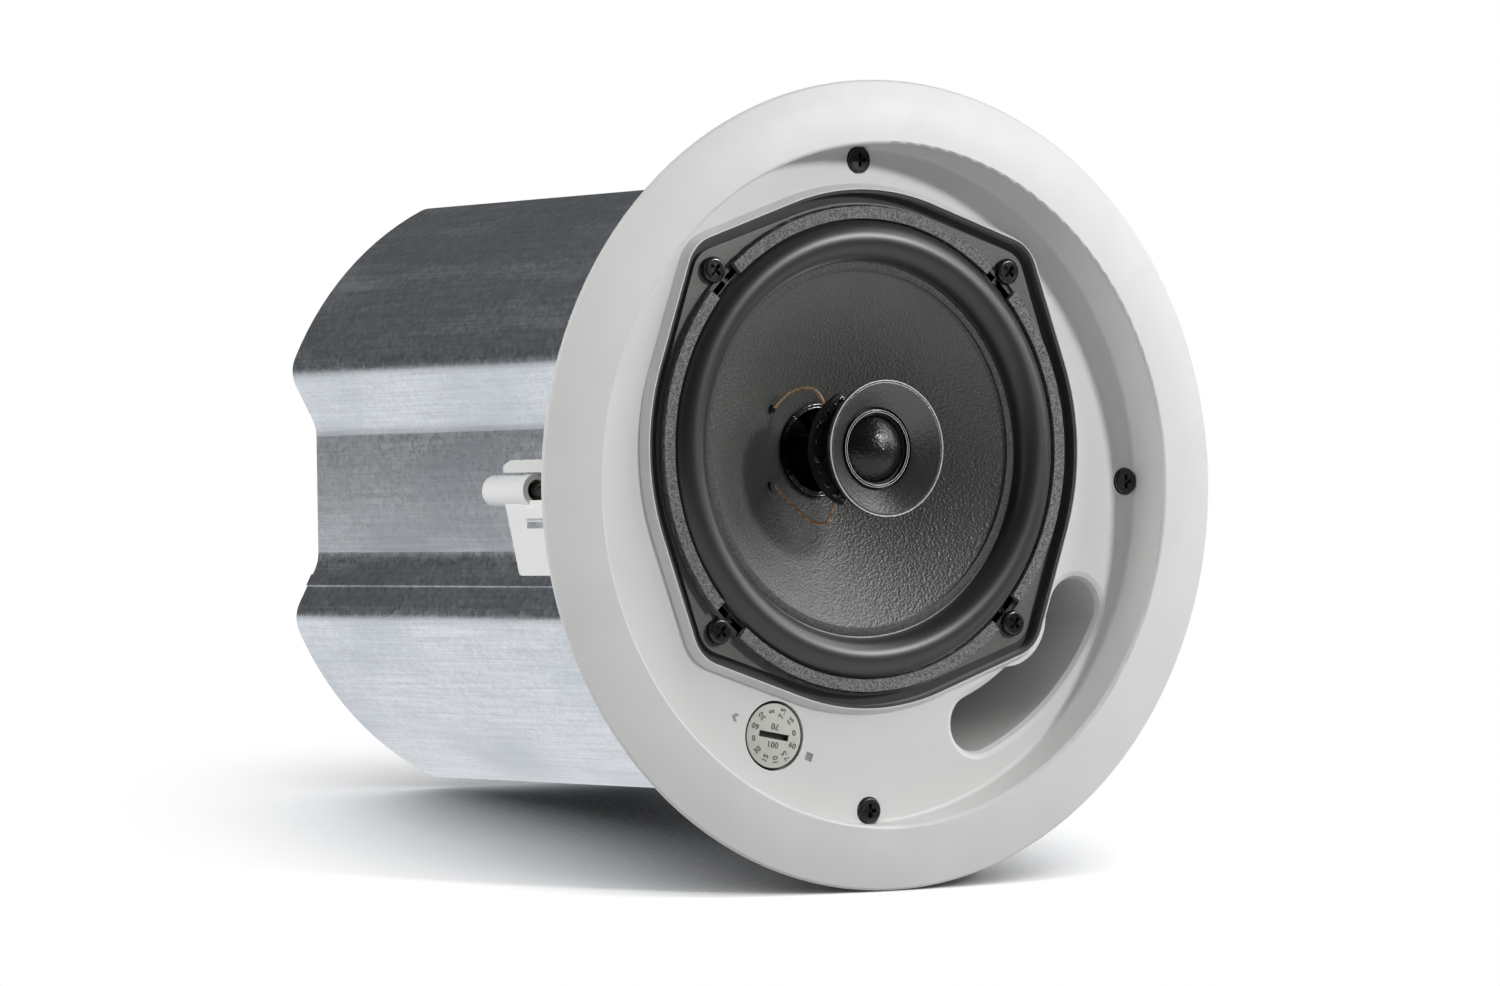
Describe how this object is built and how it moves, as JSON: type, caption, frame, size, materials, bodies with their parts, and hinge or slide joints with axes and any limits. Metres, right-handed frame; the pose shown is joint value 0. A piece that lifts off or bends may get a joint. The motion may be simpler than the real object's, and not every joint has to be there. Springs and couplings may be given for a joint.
{
  "type": "in ceiling speaker",
  "caption": "Round ceiling loudspeaker with a coaxial driver, a curved bass port, a tap selector and swing-out clamps, in a fluted steel back can",
  "frame": {"origin": "middle of the ceiling plane, which the back of the rim rests on, on the axis of the rim", "axes": "+Y up the axis into the ceiling void, the grille side faces -Y; +Z to the upper clamp screw; +X to the right when the front is looked at"},
  "size_m": [0.25, 0.2058, 0.25],
  "materials": {
    "white_plastic": "satin white moulded plastic",
    "black_foam": "black foam",
    "galvanised_steel": "galvanised sheet steel with a fine grain",
    "zinc_screws": "zinc plated steel",
    "dark_plastic": "black moulded plastic",
    "white_wadding": "white fibre wadding",
    "core_steel": "varnished laminations",
    "coil_tape": "coil wrapped in yellow tape",
    "green_board": "green lacquered board",
    "capacitor_sleeve": "dark blue sleeve",
    "copper_wire": "copper wire",
    "white_ceramic": "cement resistor body",
    "grey_steel": "grey coated steel",
    "black_screws": "black coated steel",
    "grey_gasket": "grey granular gasket",
    "black_rubber": "satin black rubber",
    "dark_cone": "coated dark grey paper with a fine grain",
    "black_former": "black glossy former",
    "brown_cloth": "doped cotton cloth",
    "ferrite": "sintered ferrite",
    "gloss_black": "glossy black",
    "bright_ring": "bright thin ring",
    "grey_plastic": "pale grey moulded plastic",
    "nut_brass": "brass insert"
  },
  "bodies": {
    "housing": {"rim": "white_plastic", "baffle": "white_plastic", "port_duct": "white_plastic", "driver_seal": "black_foam", "can_gasket": "black_foam", "can_body": "galvanised_steel", "end_cap": "galvanised_steel", "safety_tab": "galvanised_steel", "terminal_cover": "galvanised_steel", "can_screws": "zinc_screws", "terminal_cover_screws": "zinc_screws", "cable_clamp": "galvanised_steel", "cable_clamp_screws": "zinc_screws", "input_terminal": "dark_plastic", "damping_wadding": "white_wadding", "transformer_core": "core_steel", "transformer_coil": "coil_tape", "transformer_bracket": "galvanised_steel", "transformer_screws": "zinc_screws", "crossover_board": "green_board", "crossover_capacitors": "capacitor_sleeve", "crossover_inductor": "copper_wire", "crossover_resistors": "white_ceramic", "board_standoffs": "white_plastic", "driver_frame": "grey_steel", "driver_screws": "black_screws", "driver_gasket": "grey_gasket", "surround": "black_rubber", "spider": "brown_cloth", "top_plate": "zinc_screws", "magnet": "ferrite", "pole_piece": "zinc_screws", "driver_terminals": "dark_plastic", "tweeter_post": "dark_plastic", "tweeter_housing": "gloss_black", "tweeter_magnet": "ferrite", "tweeter_flare": "gloss_black", "tweeter_ring": "bright_ring", "tweeter_dome": "gloss_black", "tweeter_terminal_strip": "dark_plastic", "tweeter_lead_upper": "copper_wire", "tweeter_lead_lower": "copper_wire", "selector_switch": "dark_plastic"},
    "cone": {"cone": "dark_cone", "lead_eyelets": "copper_wire", "voice_coil_former": "black_former", "voice_coil_winding": "copper_wire"},
    "tap_selector": {"tap_selector_dial": "grey_plastic"},
    "screw_right": {"clamp_screw_right": "black_screws"},
    "nut_right": {"clamp_nut_right": "nut_brass"},
    "ear_right": {"clamp_ear_right": "white_plastic"},
    "screw_top": {"clamp_screw_top": "black_screws"},
    "nut_top": {"clamp_nut_top": "nut_brass"},
    "ear_top": {"clamp_ear_top": "white_plastic"},
    "screw_left": {"clamp_screw_left": "black_screws"},
    "nut_left": {"clamp_nut_left": "nut_brass"},
    "ear_left": {"clamp_ear_left": "white_plastic"},
    "screw_bottom": {"clamp_screw_bottom": "black_screws"},
    "nut_bottom": {"clamp_nut_bottom": "nut_brass"},
    "ear_bottom": {"clamp_ear_bottom": "white_plastic"}
  },
  "joints": [
    {"name": "cone_travel", "type": "slide", "parent": "housing", "child": "cone", "axis": [0, 1, 0], "range_m": [-0.003, 0.003], "stiffness_N_per_m": 1500, "deforming": ["surround", "spider", "tweeter_lead_upper", "tweeter_lead_lower"]},
    {"name": "tap_selector_turn", "type": "hinge", "parent": "housing", "child": "tap_selector", "pos_m": [-0.0348, 0.0121, -0.0765], "axis": [0, 1, 0], "range_deg": [-60, 90]},
    {"name": "clamp_screw_turn_right", "type": "hinge", "parent": "housing", "child": "screw_right", "pos_m": [0.1009, 0.0109, 0], "axis": [0, 1, 0], "range_deg": [0, 3151]},
    {"name": "clamp_travel_right", "type": "slide", "parent": "housing", "child": "nut_right", "axis": [0, -1, 0], "range_m": [0, 0.014]},
    {"name": "clamp_swing_right", "type": "hinge", "parent": "nut_right", "child": "ear_right", "pos_m": [0.1009, 0.041, 0], "axis": [0, 1, 0], "range_deg": [0, 90]},
    {"name": "clamp_screw_turn_top", "type": "hinge", "parent": "housing", "child": "screw_top", "pos_m": [0, 0.0109, 0.1009], "axis": [0, 1, 0], "range_deg": [0, 3151]},
    {"name": "clamp_travel_top", "type": "slide", "parent": "housing", "child": "nut_top", "axis": [0, -1, 0], "range_m": [0, 0.014]},
    {"name": "clamp_swing_top", "type": "hinge", "parent": "nut_top", "child": "ear_top", "pos_m": [0, 0.041, 0.1009], "axis": [0, 1, 0], "range_deg": [0, 90]},
    {"name": "clamp_screw_turn_left", "type": "hinge", "parent": "housing", "child": "screw_left", "pos_m": [-0.1009, 0.0109, 0], "axis": [0, 1, 0], "range_deg": [0, 3151]},
    {"name": "clamp_travel_left", "type": "slide", "parent": "housing", "child": "nut_left", "axis": [0, -1, 0], "range_m": [0, 0.014]},
    {"name": "clamp_swing_left", "type": "hinge", "parent": "nut_left", "child": "ear_left", "pos_m": [-0.1009, 0.041, 0], "axis": [0, 1, 0], "range_deg": [0, 90]},
    {"name": "clamp_screw_turn_bottom", "type": "hinge", "parent": "housing", "child": "screw_bottom", "pos_m": [0, 0.0109, -0.1009], "axis": [0, 1, 0], "range_deg": [0, 3151]},
    {"name": "clamp_travel_bottom", "type": "slide", "parent": "housing", "child": "nut_bottom", "axis": [0, -1, 0], "range_m": [0, 0.014]},
    {"name": "clamp_swing_bottom", "type": "hinge", "parent": "nut_bottom", "child": "ear_bottom", "pos_m": [0, 0.041, -0.1009], "axis": [0, 1, 0], "range_deg": [0, 90]}
  ],
  "couplings": [
    {"joint": "clamp_screw_turn_right", "follows": "clamp_travel_right", "rad_per_m": 3927},
    {"joint": "clamp_screw_turn_top", "follows": "clamp_travel_top", "rad_per_m": 3927},
    {"joint": "clamp_screw_turn_left", "follows": "clamp_travel_left", "rad_per_m": 3927},
    {"joint": "clamp_screw_turn_bottom", "follows": "clamp_travel_bottom", "rad_per_m": 3927}
  ]
}
